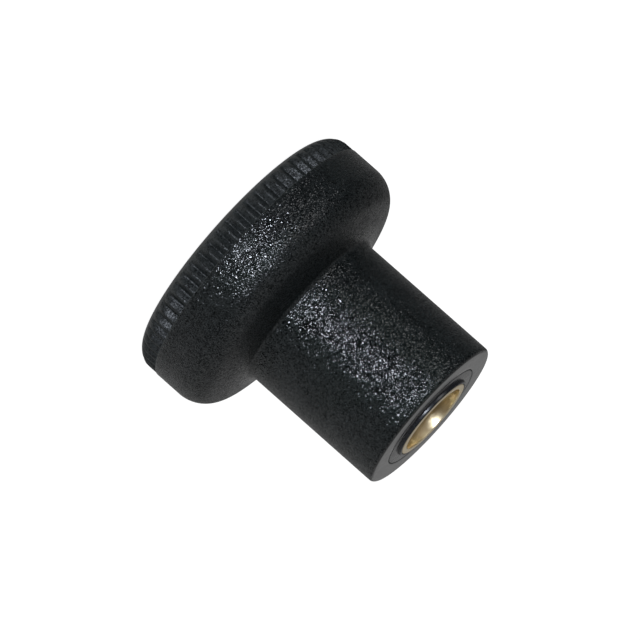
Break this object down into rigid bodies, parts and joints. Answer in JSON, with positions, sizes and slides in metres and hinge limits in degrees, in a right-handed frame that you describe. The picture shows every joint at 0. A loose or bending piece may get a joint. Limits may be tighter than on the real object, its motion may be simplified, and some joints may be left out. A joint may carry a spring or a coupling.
{
  "type": "knurled grip knob",
  "caption": "Round black grip knob with a knurled rim, a plain cylindrical hub and a threaded brass insert that opens at the hub's end.",
  "frame": {"origin": "centre of the flat outer face of the head, which the knob stands on", "axes": "+Z along the thread axis, out of the hub's open end; X and Y are equal round the axis, and the first tooth of the rim is centred on +X"},
  "size_m": [0.025, 0.025, 0.0225],
  "materials": {
    "textured_plastic": "black moulded plastic with a fine spark-eroded grain",
    "smooth_plastic": "black moulded plastic, plain satin",
    "cap_plastic": "black moulded plastic, fine satin",
    "brass": "turned brass, fine lathe marks"
  },
  "bodies": {
    "root": {"knob_body": "textured_plastic", "face_cap": "cap_plastic", "insert_sleeve": "smooth_plastic", "threaded_insert": "brass"}
  },
  "joints": []
}
